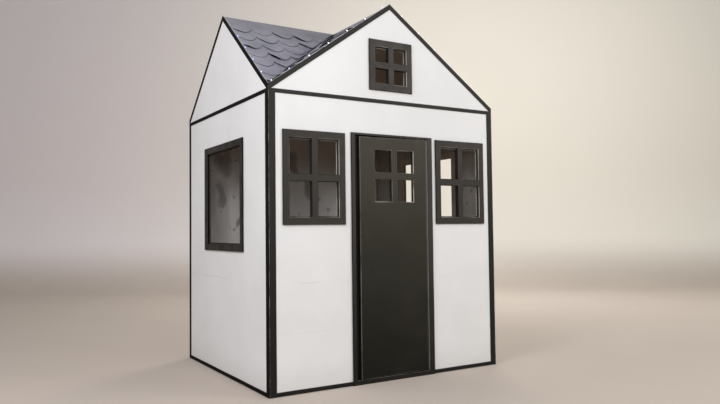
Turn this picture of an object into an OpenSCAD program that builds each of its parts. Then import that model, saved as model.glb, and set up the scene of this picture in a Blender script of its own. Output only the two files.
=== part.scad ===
// Cardboard playhouse: card walls under a roof with four gables, scalloped
// shingles, framed windows on three sides, a framed door and a string of lamps.
// Origin at the middle of the base, X along the front, Y to the back, Z up.

/* [House] */
// Width of the front wall
house_w = 1050; // [1010:1:1300]
// Depth from the front wall to the back wall
house_d = 910; // [700:1:1200]
// Height of the walls, up to the gables
wall_h = 1090; // [1000:1:1300]
// Rise of the roof, from the top of the walls to the ridges
roof_rise = 380; // [310:1:560]
// Thickness of the card sheets
card_t = 6; // [4:0.5:7.5]

/* [Shingles] */
// Thickness of the shingle card
shingle_t = 1.5; // [0.5:0.1:2.5]
// Width of one shingle
shingle_w = 94; // [60:1:140]
// Distance down the slope from one course to the next
course_step = 73.5; // [60:0.5:100]
// Length of the top course, from the ridge to its lower edge
top_course = 143; // [100:1:180]
// Depth of the round part of a shingle
tab_depth = 55; // [30:1:58]
// Length of a course that lies hidden above the notches of the one over it
course_lap = 7; // [4:0.5:20]
// Open strip left beside each valley
valley_gap = 4; // [3:0.5:15]

/* [Trim] */
// Thickness of the trim paper
trim_t = 1; // [0.4:0.1:2]
// Width of a corner trim on the front and the back
corner_trim_front = 28; // [15:1:45]
// Width of a corner trim on the left and the right side
corner_trim_side = 24; // [15:1:60]
// Width of the eave trims
eave_trim_w = 15; // [8:1:40]
// Height of the base trims
base_trim_w = 16; // [8:1:40]
// Width of the rake trims along the gables
rake_trim_w = 18; // [12:1:40]
// Height of the trims' lower ends over the floor
trim_lift = 1; // [0.5:0.5:4]

/* [Front windows] */
// Gap between a front window frame and the door frame
window_gap = 22; // [12:1:60]
// Height of a front window frame
window_h = 344; // [250:1:400]
// Distance from the top of the wall down to the front window frames
window_drop = 143; // [40:1:300]
// Distance from the corner of the house to a front window frame
window_inset = 54; // [46:1:90]
// Width of an outer frame's border
border_w = 27; // [20:1:32]
// Width of an inner frame's border
inner_border_w = 32; // [24:1:40]
// Width of the glazing bars
bar_w = 27; // [12:1:40]
// Distance by which the holes in the card stand back behind the outer frames
hole_back = 6; // [2:0.5:12]

/* [Side windows] */
// Width of a side window frame
side_window_w = 444; // [300:1:560]
// Height of a side window frame
side_window_h = 439; // [300:1:520]
// Distance from the top of the wall down to the side window frames
side_window_drop = 148; // [40:1:400]

/* [Gable window] */
// Width of the gable window frame
gable_window_w = 202; // [150:1:230]
// Height of the gable window frame
gable_window_h = 200; // [150:1:220]
// Height of the gable window frame over the top of the front wall
gable_window_rise = 35; // [25:1:60]

/* [Door] */
// Sideways place of the door frame's middle
door_x = 4; // [-4:0.5:6]
// Width of the door frame
door_frame_w = 382; // [340:1:390]
// Distance from the top of the wall down to the door frame
door_drop = 137; // [40:1:260]
// Width of the frame beside the free edge of the door
latch_stile_w = 17; // [14:0.5:40]
// Width of the frame beside the hinge
hinge_stile_w = 23; // [18:1:40]
// Width of the frame over the door
head_w = 8; // [6:1:30]
// Height of the sill under the door
sill_h = 17; // [12:1:30]
// Gap beside the free edge of the door
latch_gap = 19.5; // [6:0.5:24]
// Distance from the hinge line to the front sheet of the door
hinge_gap = 8; // [8:0.5:14]
// Distance from the hinge line to the door frame
hinge_clear = 1.4; // [0.8:0.1:3]
// Amount by which the free edge of the door hangs lower
door_sag = 4; // [0:0.5:6]
// Gap over the door and under it
door_gap = 2; // [1:0.5:6]
// Overlap of the door on the inner frame that stops it
stop_lap = 9; // [6:1:14]
// Gap around the back sheet of the door
back_gap = 3; // [2:0.5:6]
// Play between the door and the inner frame behind it
door_play = 0.5; // [0.3:0.1:1]
// Thickness of the hinge tape
tape_t = 0.5; // [0.2:0.1:0.6]
// Width of one light in the door
door_light_w = 77; // [50:1:90]
// Height of one light in the door
door_light_h = 87; // [60:1:120]
// Distance from the top of the door to its lights
door_light_top = 51; // [45:1:120]

/* [Lamp string] */
// Diameter of the wire
wire_d = 1.2; // [0.8:0.1:2]
// Diameter of a lamp
lamp_d = 5; // [3:0.5:7]
// Distance between two lamps
lamp_step = 100; // [60:1:150]
// Distance from the left ridge to the first lamp
first_lamp_left = 200; // [100:1:260]
// Distance from the front left corner to the second lamp of the front
first_lamp_front = 111; // [60:1:140]
// Number of lamps that follow on the front rakes
front_lamps = 11; // [8:1:12]
// Distance from a gable's face to the wire on its rakes
wire_inset = 3; // [3:0.5:6]
// Distance from the left gable's face to the hole for the wire
wire_hole_inset = 10; // [8.5:0.5:12]
// Length of the battery case
case_l = 40; // [30:1:60]
// Height of the battery case
case_h = 25; // [18:1:30]
// Depth of the battery case
case_d = 12; // [10:1:16]
// Distance from the ridge down to the battery case
case_drop = 60; // [50:1:100]

/* [Hidden] */

half_w = house_w / 2;
half_d = house_d / 2;
ridge_h = wall_h + roof_rise;
front = 0;
right = 90;
back = 180;
left = 270;
fit = 0.3;
lamp_gap = 0.1;
through = 20;

// The frames stand out further at the front than the trims do at the back, so
// the walls are set back until the origin is in the middle of the outline
set_back = (card_t - trim_t) / 2;

// Pitch of a slope whose underside rests on the wall's outer edge
function pitch(run) = acos(card_t / norm([run, roof_rise])) - atan2(run, roof_rise);
pitch_front = pitch(half_w);
pitch_side = pitch(half_d);

// Each course lies on the one below it, tilted by this angle against the slope
lay_angle = asin(shingle_t / course_step);
course_len = course_step + tab_depth + course_lap;
shingle_top = course_len * sin(lay_angle) + shingle_t;
tab_power = 1.7;
tab_points = 8;

// Middle of the front windows and of the gable window
window_w = half_w - window_inset - door_frame_w / 2 - window_gap;
window_x = half_w - window_inset - window_w / 2;
window_mid = wall_h - window_drop - window_h / 2;
side_window_mid = wall_h - side_window_drop - side_window_h / 2;
gable_window_mid = wall_h + gable_window_rise + gable_window_h / 2;

// Edges of the doorway and of the door, latch side first
door_frame_h = wall_h - door_drop;
frame_x0 = door_x - door_frame_w / 2;
frame_x1 = door_x + door_frame_w / 2;
opening_x0 = frame_x0 + latch_stile_w;
opening_x1 = frame_x1 - hinge_stile_w;
opening_z1 = door_frame_h - head_w;
hinge_x = opening_x1 - hinge_clear;
leaf_x0 = opening_x0 + latch_gap;
leaf_x1 = hinge_x - fit;
sheet_x1 = hinge_x - hinge_gap;
leaf_z0 = sill_h + door_gap;
leaf_z1 = opening_z1 - door_gap - door_sag;
stop_x0 = leaf_x0 + stop_lap;
stop_x1 = leaf_x1 - stop_lap;
stop_z0 = leaf_z0 + door_sag + stop_lap;
stop_z1 = leaf_z1 - stop_lap;
light_x = (leaf_x0 + leaf_x1) / 2;
lights_w = 2 * door_light_w + bar_w;
lights_h = 2 * door_light_h + bar_w;
lights_mid = leaf_z1 + door_sag - door_light_top - lights_h / 2;

// Place of the wire over the roof sheets, with the lamps on top of it
wire_h = shingle_top + wire_d / 2 + fit;
lamp_h = wire_h + (wire_d + lamp_d) / 2 + lamp_gap;
left_rake = half_d / cos(pitch_side);
front_rake = half_w / cos(pitch_front);
case_top = ridge_h - case_drop;

// Turns a piece to its side of the house
module turned(side) {
    translate([0, set_back, 0])
        rotate([0, 0, side])
            children();
}

// A sheet drawn as seen from outside, laid on one side of the house
module layer(side, distance, thick) {
    turned(side)
        translate([0, -distance, 0])
            rotate([90, 0, 0])
                linear_extrude(height = thick)
                    children();
}

module box_2d(x0, x1, z0, z1) {
    translate([x0, z0]) square([x1 - x0, z1 - z0]);
}

// Two by two lights around a middle, with a bar between them
module four_lights(x, z, w, h, bar) {
    for (sx = [-1, 1], sz = [-1, 1]) {
        translate([x + sx * (w + bar) / 2, z + sz * (h + bar) / 2])
            square([w, h], center = true);
    }
}

module frame_2d(w, h, border, x, z, barred) {
    difference() {
        translate([x, z]) square([w, h], center = true);
        if (barred)
            four_lights(x, z, (w - bar_w) / 2 - border, (h - bar_w) / 2 - border, bar_w);
        else
            translate([x, z]) square([w - 2 * border, h - 2 * border], center = true);
    }
}

// Hole in the card behind a frame
module hole_2d(w, h, x, z) {
    inset = 2 * (border_w - hole_back);
    translate([x, z]) square([w - inset, h - inset], center = true);
}

// Walls
module front_wall() {
    color("#f2f1ee")
        layer(front, half_d - card_t, card_t)
            difference() {
                box_2d(-half_w, half_w, 0, wall_h);
                hole_2d(window_w, window_h, -window_x, window_mid);
                hole_2d(window_w, window_h, window_x, window_mid);
                box_2d(opening_x0, hinge_x, sill_h, opening_z1);
            }
}

module back_wall() {
    color("#f2f1ee")
        layer(back, half_d - card_t, card_t)
            box_2d(-half_w, half_w, 0, wall_h);
}

module side_wall(side) {
    reach = half_d - card_t;
    color("#f2f1ee")
        layer(side, half_w - card_t, card_t)
            difference() {
                box_2d(-reach, reach, 0, wall_h);
                hole_2d(side_window_w, side_window_h, 0, side_window_mid);
            }
}

// Gables stand on the walls, and their top edges follow the slopes
module long_gable(side, windowed) {
    color("#f2f1ee")
        layer(side, half_d - card_t, card_t)
            difference() {
                polygon([
                    [-half_w, wall_h], [half_w, wall_h],
                    [0, wall_h + half_w * tan(pitch_front)]
                ]);
                if (windowed)
                    hole_2d(gable_window_w, gable_window_h, 0, gable_window_mid);
            }
}

module short_gable(side) {
    reach = half_d - card_t;
    heel = wall_h + card_t * tan(pitch_side);
    color("#f2f1ee")
        layer(side, half_w - card_t, card_t)
            polygon([
                [-reach, wall_h], [reach, wall_h], [reach, heel],
                [0, wall_h + half_d * tan(pitch_side)], [-reach, heel]
            ]);
}

// A sheet folded over a ridge, seen from its gable. Its underside is level
// with the given height at the ridge
module folded_2d(run, angle, under, thick) {
    drop = run * tan(angle);
    rise = thick / cos(angle);
    polygon([
        [-run, under - drop], [-run, under - drop + rise], [0, under + rise],
        [run, under - drop + rise], [run, under - drop], [0, under]
    ]);
}

// One wing of the roof, cut on the valleys that it shares with its neighbours
module roof_sheet(side, run, reach) {
    angle = pitch(run);
    color("#6b5c4b")
        turned(side)
            intersection() {
                rotate([90, 0, 0])
                    linear_extrude(height = reach)
                        folded_2d(run, angle, ridge_h - card_t / cos(angle), card_t);
                linear_extrude(height = ridge_h + through)
                    polygon([[0, 0], [-run, -reach], [run, -reach]]);
            }
}

// Lower edge of one shingle: a flattened arch from notch to notch
function tab_curve(low, y0, scale) = [
    for (i = [0 : tab_points - 1])
        let (turn = 180 * i / tab_points,
             side = cos(turn),
             across = sign(side) * pow(abs(side), 2 / tab_power),
             down = pow(sin(turn), 2 / tab_power))
            [(low - tab_depth + tab_depth * down) * scale,
             y0 + shingle_w * (1 - across) / 2]
];

// A course from its hidden top edge to its scalloped lower edge. The first
// shingle starts at the gable, and scale shortens the slope for a plan view
function course_2d(top, low, reach, scale) =
    let (count = ceil(reach / shingle_w),
         tabs = [for (k = [0 : count - 1]) each tab_curve(low, k * shingle_w - reach, scale)],
         end = count * shingle_w - reach)
        concat([[top * scale, -reach]], tabs, [[(low - tab_depth) * scale, end], [top * scale, end]]);

// Part of a slope between its ridge, its gable and the open strip by the valley
module slope_2d(length, reach) {
    gap = valley_gap * norm([1, reach / length]);
    polygon([[0, -reach], [0, -gap], [length * (1 - gap / reach), -reach]]);
}

// The top course is folded over the ridge and covers both slopes
module ridge_course(side, run, reach, wired) {
    angle = pitch(run) - lay_angle;
    color("#77777f")
        turned(side)
            difference() {
                intersection() {
                    rotate([90, 0, 0])
                        linear_extrude(height = reach)
                            folded_2d(run, angle, ridge_h, shingle_t);
                    linear_extrude(height = ridge_h + through)
                        for (flip = [0, 1])
                            mirror([flip, 0])
                                intersection() {
                                    polygon(course_2d(0, top_course, reach, cos(angle)));
                                    slope_2d(run, reach);
                                }
                }
                if (wired) wire_hole(reach);
            }
}

// The courses below the ridge on one slope
module shingles(side, flip, run, reach) {
    angle = pitch(run);
    length = run / cos(angle);
    last = floor((length - top_course) / course_step);
    color("#77777f")
        turned(side)
            mirror([flip, 0, 0])
                translate([0, 0, ridge_h])
                    rotate([0, angle, 0])
                        for (k = [1 : last]) {
                            low = top_course + k * course_step;
                            translate([low - course_len, 0, 0])
                                rotate([0, -lay_angle, 0])
                                    linear_extrude(height = shingle_t)
                                        translate([course_len - low, 0])
                                            intersection() {
                                                polygon(course_2d(low - course_len, low, reach, 1));
                                                slope_2d(length, reach);
                                            }
                        }
}

// Hole for the wire, straight down through the ridge beside the gable
module wire_hole(reach) {
    translate([0, wire_hole_inset - reach, ridge_h - through])
        cylinder(h = 2 * through, d = wire_d + 2, $fn = 24);
}

module left_roof_sheet() {
    difference() {
        roof_sheet(left, half_d, half_w);
        turned(left) wire_hole(half_w);
    }
}

// Trims: paper strips stuck on the card
module corner_trim(sx, sy) {
    x = sx * half_w;
    y = sy * half_d;
    color("#1f1e1d")
        translate([0, set_back, trim_lift])
            linear_extrude(height = wall_h - trim_lift)
                polygon([
                    [x + sx * trim_t, y + sy * trim_t],
                    [x - sx * corner_trim_front, y + sy * trim_t],
                    [x - sx * corner_trim_front, y],
                    [x, y],
                    [x, y - sy * corner_trim_side],
                    [x + sx * trim_t, y - sy * corner_trim_side]
                ]);
}

module strip(side, distance, x0, x1, z0, z1) {
    color("#1f1e1d")
        layer(side, distance, trim_t)
            box_2d(x0, x1, z0, z1);
}

module eave_trim(side, distance, reach) {
    strip(side, distance, -reach, reach, wall_h - eave_trim_w, wall_h);
}

module base_trim(side, distance, x0, x1) {
    strip(side, distance, x0, x1, trim_lift, base_trim_w);
}

// A rake trim covers the edges of the shingles, the roof sheet and the gable
module rake_trim(side, distance, run) {
    angle = pitch(run);
    top = ridge_h + shingle_top / cos(angle);
    inner = top - rake_trim_w / cos(angle);
    end = top - run * tan(angle);
    foot = (inner - wall_h) / tan(angle);
    color("#1f1e1d")
        layer(side, distance, trim_t)
            polygon([
                [-run, wall_h], [-run, end], [0, top], [run, end], [run, wall_h],
                [foot, wall_h], [0, inner], [-foot, wall_h]
            ]);
}

// Window frames: one outside and one inside of each wall
module window_frame(side, distance, w, h, border, x, z, barred) {
    color("#35322e")
        layer(side, distance, card_t)
            frame_2d(w, h, border, x, z, barred);
}

module front_window_frame(x) {
    window_frame(front, half_d, window_w, window_h, border_w, x, window_mid, true);
}

module front_window_inner_frame(x) {
    window_frame(front, half_d - 2 * card_t, window_w, window_h, inner_border_w, x, window_mid, true);
}

module gable_window_frame() {
    window_frame(front, half_d, gable_window_w, gable_window_h, border_w, 0, gable_window_mid, true);
}

module gable_window_inner_frame() {
    window_frame(front, half_d - 2 * card_t, gable_window_w, gable_window_h,
        inner_border_w, 0, gable_window_mid, true);
}

module side_window_frame(side) {
    window_frame(side, half_w, side_window_w, side_window_h, border_w, 0, side_window_mid, false);
}

module side_window_inner_frame(side) {
    window_frame(side, half_w - 2 * card_t, side_window_w, side_window_h,
        inner_border_w, 0, side_window_mid, false);
}

// Door frame, and the inner frame that the door shuts against
module door_frame() {
    color("#35322e")
        layer(front, half_d, card_t)
            difference() {
                box_2d(frame_x0, frame_x1, 0, door_frame_h);
                box_2d(opening_x0, opening_x1, sill_h, opening_z1);
            }
}

module door_inner_frame() {
    color("#35322e")
        layer(front, half_d - 2 * card_t, card_t)
            difference() {
                box_2d(frame_x0, frame_x1, 0, door_frame_h);
                box_2d(stop_x0, stop_x1, stop_z0, stop_z1);
            }
}

// Outline of a door sheet, lower at its free edge
module leaf_2d(x0, x1, z0, z1) {
    polygon([[x0, z0], [x1, z0 + door_sag], [x1, z1 + door_sag], [x0, z1]]);
}

module door_lights() {
    four_lights(light_x, lights_mid, door_light_w, door_light_h, bar_w);
}

module door_front_sheet() {
    color("#35322e")
        layer(front, half_d, card_t)
            difference() {
                leaf_2d(leaf_x0, sheet_x1, leaf_z0, leaf_z1);
                door_lights();
            }
}

module door_core() {
    color("#35322e")
        layer(front, half_d - card_t + door_play, card_t - door_play)
            difference() {
                leaf_2d(leaf_x0, leaf_x1, leaf_z0, leaf_z1);
                translate([light_x, lights_mid])
                    square([lights_w + 2 * hole_back, lights_h + 2 * hole_back], center = true);
            }
}

module door_back_sheet() {
    color("#35322e")
        layer(front, half_d - 2 * card_t + door_play, card_t)
            difference() {
                leaf_2d(stop_x0 + back_gap, stop_x1 - back_gap, stop_z0 + back_gap, stop_z1 - back_gap - door_sag);
                door_lights();
            }
}

module door_hinge_tape() {
    color("#8d8a84")
        layer(front, half_d, tape_t)
            box_2d(sheet_x1 + fit, leaf_x1, leaf_z0 + door_sag, leaf_z1);
}

// Lamp string: out through the left ridge, down the left rake and over the front gable
function left_rake_point(s, h) = [
    wire_inset - half_w,
    -s * cos(pitch_side) - h * sin(pitch_side),
    ridge_h - s * sin(pitch_side) + h * cos(pitch_side)
];
function front_rake_point(x, h) = [
    x + sign(x) * h * sin(pitch_front),
    wire_inset - half_d,
    ridge_h - abs(x) * tan(pitch_front) + h * cos(pitch_front)
];
// Point over the front rakes at a distance from the front left corner
function front_point(s, h) = front_rake_point((s - front_rake) * cos(pitch_front), h);

last_lamp = first_lamp_front + (front_lamps - 1) * lamp_step;
wire_step = 50;
left_turn = 10;
front_turn = 25;
wire_points = concat(
    [
        [wire_hole_inset - half_w, 0, case_top],
        [wire_hole_inset - half_w, 0, ridge_h - through],
        [wire_hole_inset - half_w, 0, ridge_h + wire_h / 2]
    ],
    [for (s = [lamp_d : wire_step : left_rake - wire_step]) left_rake_point(s, wire_h)],
    [left_rake_point(left_rake - left_turn, wire_h)],
    [for (s = [front_turn : wire_step : front_rake - lamp_d]) front_point(s, wire_h)],
    [[0, wire_inset - half_d, ridge_h + 2 * wire_h]],
    [for (s = [front_rake + lamp_d : wire_step : last_lamp]) front_point(s, wire_h)],
    [front_point(last_lamp, wire_h)]
);
wire_sides = 8;
wire_ref = [1, 1, 0];

function unit(v) = v / norm(v);
function heading(points, i) = unit(points[min(i + 1, len(points) - 1)] - points[max(i - 1, 0)]);
function ring(centre, along) =
    let (u = unit(cross(along, wire_ref)), v = cross(along, u))
        [for (k = [0 : wire_sides - 1])
            centre + (u * cos(360 * k / wire_sides) + v * sin(360 * k / wire_sides)) * wire_d / 2];

module lamp_wire() {
    rings = len(wire_points);
    skin = [for (i = [0 : rings - 1]) each ring(wire_points[i], heading(wire_points, i))];
    start_cap = [for (k = [0 : wire_sides - 1]) wire_sides - 1 - k];
    end_cap = [for (k = [0 : wire_sides - 1]) (rings - 1) * wire_sides + k];
    walls = [
        for (i = [0 : rings - 2], k = [0 : wire_sides - 1])
            let (a = i * wire_sides, b = a + wire_sides, n = (k + 1) % wire_sides)
                each [[a + k, a + n, b + n], [a + k, b + n, b + k]]
    ];
    color("#b9b3a6")
        turned(front)
            polyhedron(points = skin, faces = concat([start_cap], walls, [end_cap]));
}

module lamps() {
    places = concat(
        [for (s = [first_lamp_left : lamp_step : left_rake - lamp_d]) left_rake_point(s, lamp_h)],
        [front_point(front_turn, lamp_h)],
        [for (k = [0 : front_lamps - 1]) front_point(first_lamp_front + k * lamp_step, lamp_h)]
    );
    color("#ffffff")
        turned(front)
            for (place = places)
                translate(place) sphere(d = lamp_d, $fn = 20);
}

module battery_case() {
    color("#e9e7e1")
        translate([card_t - half_w, set_back - case_l / 2, case_top - case_h])
            cube([case_d, case_l, case_h]);
}

front_wall();
back_wall();
side_wall(left);  // left_wall
side_wall(right);  // right_wall
long_gable(front, true);  // front_gable
long_gable(back, false);  // back_gable
short_gable(left);  // left_gable
short_gable(right);  // right_gable
roof_sheet(front, half_w, half_d);  // front_roof_sheet
roof_sheet(back, half_w, half_d);  // back_roof_sheet
left_roof_sheet();
roof_sheet(right, half_d, half_w);  // right_roof_sheet
ridge_course(front, half_w, half_d, false);  // front_ridge_course
ridge_course(back, half_w, half_d, false);  // back_ridge_course
ridge_course(left, half_d, half_w, true);  // left_ridge_course
ridge_course(right, half_d, half_w, false);  // right_ridge_course
shingles(front, 1, half_w, half_d);  // front_wing_left_shingles
shingles(front, 0, half_w, half_d);  // front_wing_right_shingles
shingles(back, 0, half_w, half_d);  // back_wing_left_shingles
shingles(back, 1, half_w, half_d);  // back_wing_right_shingles
shingles(left, 0, half_d, half_w);  // left_wing_front_shingles
shingles(left, 1, half_d, half_w);  // left_wing_back_shingles
shingles(right, 1, half_d, half_w);  // right_wing_front_shingles
shingles(right, 0, half_d, half_w);  // right_wing_back_shingles
corner_trim(-1, -1);  // front_left_corner_trim
corner_trim(1, -1);  // front_right_corner_trim
corner_trim(-1, 1);  // back_left_corner_trim
corner_trim(1, 1);  // back_right_corner_trim
eave_trim(front, half_d, half_w - corner_trim_front);  // front_eave_trim
eave_trim(back, half_d, half_w - corner_trim_front);  // back_eave_trim
eave_trim(left, half_w, half_d - corner_trim_side);  // left_eave_trim
eave_trim(right, half_w, half_d - corner_trim_side);  // right_eave_trim
base_trim(front, half_d, corner_trim_front - half_w, frame_x0);  // front_left_base_trim
base_trim(front, half_d, frame_x1, half_w - corner_trim_front);  // front_right_base_trim
base_trim(back, half_d, corner_trim_front - half_w, half_w - corner_trim_front);  // back_base_trim
base_trim(left, half_w, corner_trim_side - half_d, half_d - corner_trim_side);  // left_base_trim
base_trim(right, half_w, corner_trim_side - half_d, half_d - corner_trim_side);  // right_base_trim
rake_trim(front, half_d, half_w);  // front_rake_trim
rake_trim(back, half_d, half_w);  // back_rake_trim
rake_trim(left, half_w, half_d);  // left_rake_trim
rake_trim(right, half_w, half_d);  // right_rake_trim
front_window_frame(-window_x);  // front_left_window_frame
front_window_inner_frame(-window_x);  // front_left_window_inner_frame
front_window_frame(window_x);  // front_right_window_frame
front_window_inner_frame(window_x);  // front_right_window_inner_frame
gable_window_frame();
gable_window_inner_frame();
side_window_frame(left);  // left_window_frame
side_window_inner_frame(left);  // left_window_inner_frame
side_window_frame(right);  // right_window_frame
side_window_inner_frame(right);  // right_window_inner_frame
door_frame();
door_inner_frame();
door_front_sheet();
door_core();
door_back_sheet();
door_hinge_tape();
lamp_wire();
lamps();
battery_case();
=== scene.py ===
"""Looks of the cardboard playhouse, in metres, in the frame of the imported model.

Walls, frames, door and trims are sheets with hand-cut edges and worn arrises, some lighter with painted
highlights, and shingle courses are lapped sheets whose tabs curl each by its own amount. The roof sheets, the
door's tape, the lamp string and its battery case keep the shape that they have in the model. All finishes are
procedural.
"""

import math
import random

import bmesh
import bpy
from mathutils import Matrix, Vector
from mathutils.geometry import delaunay_2d_cdt
from mathutils.noise import noise


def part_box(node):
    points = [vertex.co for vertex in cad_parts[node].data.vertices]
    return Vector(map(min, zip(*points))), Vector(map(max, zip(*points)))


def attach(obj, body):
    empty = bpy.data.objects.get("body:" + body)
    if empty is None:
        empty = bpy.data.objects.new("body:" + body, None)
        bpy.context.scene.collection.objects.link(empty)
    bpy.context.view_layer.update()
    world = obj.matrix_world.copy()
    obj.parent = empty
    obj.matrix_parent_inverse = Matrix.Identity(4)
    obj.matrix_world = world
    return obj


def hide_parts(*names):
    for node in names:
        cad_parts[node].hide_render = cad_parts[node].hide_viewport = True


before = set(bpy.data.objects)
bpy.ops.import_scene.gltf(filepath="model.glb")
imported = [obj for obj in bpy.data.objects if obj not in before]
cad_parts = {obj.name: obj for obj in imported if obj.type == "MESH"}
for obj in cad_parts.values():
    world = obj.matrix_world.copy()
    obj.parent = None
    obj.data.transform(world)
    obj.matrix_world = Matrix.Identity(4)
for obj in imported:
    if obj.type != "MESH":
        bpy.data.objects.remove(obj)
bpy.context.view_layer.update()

MM = 0.001

# Sizes of the house, as the model has them
HALF_W = 0.525
HALF_D = 0.455
WALL_H = 1.090
ROOF_RISE = 0.380
RIDGE_H = WALL_H + ROOF_RISE
CARD = 6 * MM
TRIM = 1 * MM
# The model is centred on its box: frames stand out at the front, but only a trim at the back
SET_BACK = (CARD - TRIM) / 2
BORDER = 27 * MM
INNER_BORDER = 32 * MM
BAR = 27 * MM
RAKE_TRIM_W = 18 * MM

# Flutes of the card, as they show through paper and at a cut edge
FLUTE_PITCH = 7.5 * MM
CUT_FLUTE_PITCH = 7.0 * MM

# Sheets cut by hand: wear of arrises, wander of edges and the step between points along them
ARRIS_WEAR = 1.2 * MM
WANDER = 0.6 * MM
EDGE_STEP = 25 * MM

# Shingles
SHINGLE_T = 1.5 * MM
SHINGLE_W = 94 * MM
COURSE_STEP = 73.5 * MM
TOP_COURSE = 143 * MM
TAB_DEPTH = 55 * MM
COURSE_LAP = 7 * MM
COURSE_DEPTH = COURSE_STEP + TAB_DEPTH + COURSE_LAP
LAY = math.asin(SHINGLE_T / COURSE_STEP)

# Sides of the house, as turns about Z from the front
FRONT, RIGHT, BACK, LEFT = 0, 90, 180, 270

random.seed(11)

# Camera of the photograph: a picture of 720 by 404 pixels
PICTURE_W = 720
FOCAL_PX = 669.1
SENSOR_MM = 36.0
CAMERA_PLACE = (-1.474, -2.627 + SET_BACK, 0.584)
CAMERA_TURNS = (-31.41, 2.35, -0.66)


def make_camera():
    pan, tilt, roll = map(math.radians, CAMERA_TURNS)
    ahead = Vector((-math.sin(pan) * math.cos(tilt), math.cos(pan) * math.cos(tilt), math.sin(tilt)))
    level = Vector((math.cos(pan), math.sin(pan), 0))
    up = level.cross(ahead)
    right = math.cos(roll) * level + math.sin(roll) * up
    up = right.cross(ahead)
    data = bpy.data.cameras.new("camera")
    data.sensor_width = SENSOR_MM
    data.lens = FOCAL_PX / PICTURE_W * SENSOR_MM
    data.clip_end = 50
    camera = bpy.data.objects.new("camera", data)
    bpy.context.collection.objects.link(camera)
    axes = Matrix((right, up, -ahead)).transposed()
    camera.matrix_world = Matrix.Translation(CAMERA_PLACE) @ axes.to_4x4()
    bpy.context.scene.camera = camera


make_camera()


# Materials
def srgb(r, g, b):
    """A colour as read from a picture, 0 to 255, made linear."""
    def line(c):
        c /= 255
        return c / 12.92 if c <= 0.04045 else ((c + 0.055) / 1.055) ** 2.4
    return (line(r), line(g), line(b), 1)


class Nodes:
    """Builds a material's node tree with few words."""

    def __init__(self, name, rough=0.7, specular=0.5):
        self.mat = bpy.data.materials.new(name)
        self.mat.use_nodes = True
        self.tree = self.mat.node_tree
        self.shader = self.tree.nodes["Principled BSDF"]
        self.shader.inputs["Roughness"].default_value = rough
        self.shader.inputs["Specular IOR Level"].default_value = specular
        self.coord = self.tree.nodes.new("ShaderNodeTexCoord")
        self.place = self.coord.outputs["Object"]
        self.height = None

    def link(self, a, b):
        self.tree.links.new(a, b)

    def put(self, socket, value):
        if isinstance(value, (int, float, tuple)):
            socket.default_value = value
        else:
            self.link(value, socket)

    def scaled(self, x, y, z):
        node = self.tree.nodes.new("ShaderNodeMapping")
        self.link(self.place, node.inputs["Vector"])
        node.inputs["Scale"].default_value = (x, y, z)
        return node.outputs[0]

    def noise(self, scale, detail=3, rough=0.5, source=None, distort=0.0):
        node = self.tree.nodes.new("ShaderNodeTexNoise")
        self.put(node.inputs["Vector"], source or self.place)
        node.inputs["Scale"].default_value = scale
        node.inputs["Detail"].default_value = detail
        node.inputs["Roughness"].default_value = rough
        node.inputs["Distortion"].default_value = distort
        return node.outputs[0]

    def math(self, kind, a, b=0.0, c=0.0):
        node = self.tree.nodes.new("ShaderNodeMath")
        node.operation = kind
        for socket, value in zip(node.inputs, (a, b, c)):
            self.put(socket, value)
        return node.outputs[0]

    def axis(self, letter, source=None):
        node = self.tree.nodes.new("ShaderNodeSeparateXYZ")
        self.put(node.inputs[0], source or self.place)
        return node.outputs[letter]

    def ramp(self, value, low, high, a=0.0, b=1.0):
        node = self.tree.nodes.new("ShaderNodeMapRange")
        node.interpolation_type = "SMOOTHSTEP"
        self.put(node.inputs["Value"], value)
        for name, number in (("From Min", low), ("From Max", high), ("To Min", a), ("To Max", b)):
            node.inputs[name].default_value = number
        return node.outputs[0]

    def mix(self, factor, a, b):
        node = self.tree.nodes.new("ShaderNodeMix")
        node.data_type = "RGBA"
        self.put(node.inputs[0], factor)
        self.put(node.inputs[6], a)
        self.put(node.inputs[7], b)
        return node.outputs[2]

    def bump(self, height, depth):
        """Adds a height field, whose values from 0 to 1 stand for the depth in metres."""
        part = self.math("MULTIPLY", height, depth)
        self.height = part if self.height is None else self.math("ADD", self.height, part)

    def done(self, color, rough=None):
        self.put(self.shader.inputs["Base Color"], color)
        if rough is not None:
            self.put(self.shader.inputs["Roughness"], rough)
        if self.height is not None:
            node = self.tree.nodes.new("ShaderNodeBump")
            node.inputs["Distance"].default_value = 1.0
            self.link(self.height, node.inputs["Height"])
            self.link(node.outputs[0], self.shader.inputs["Normal"])
        return self.mat


def paper_grain(n, depth=0.05 * MM):
    n.bump(n.noise(900, 4, 0.6), depth)


def flutes(n, depth):
    """Upright flutes of the card, which show through what is glued on it."""
    across = n.math("ADD", n.axis("X"), n.axis("Y"))
    wave = n.math("SINE", n.math("MULTIPLY", across, 2 * math.pi / FLUTE_PITCH))
    n.bump(n.ramp(wave, -1, 1), depth)


# Joints across the walls' paper: height and strength
CREASES = ((0.392, 1.0), (0.215, 0.3), (0.705, 0.25))


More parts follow.
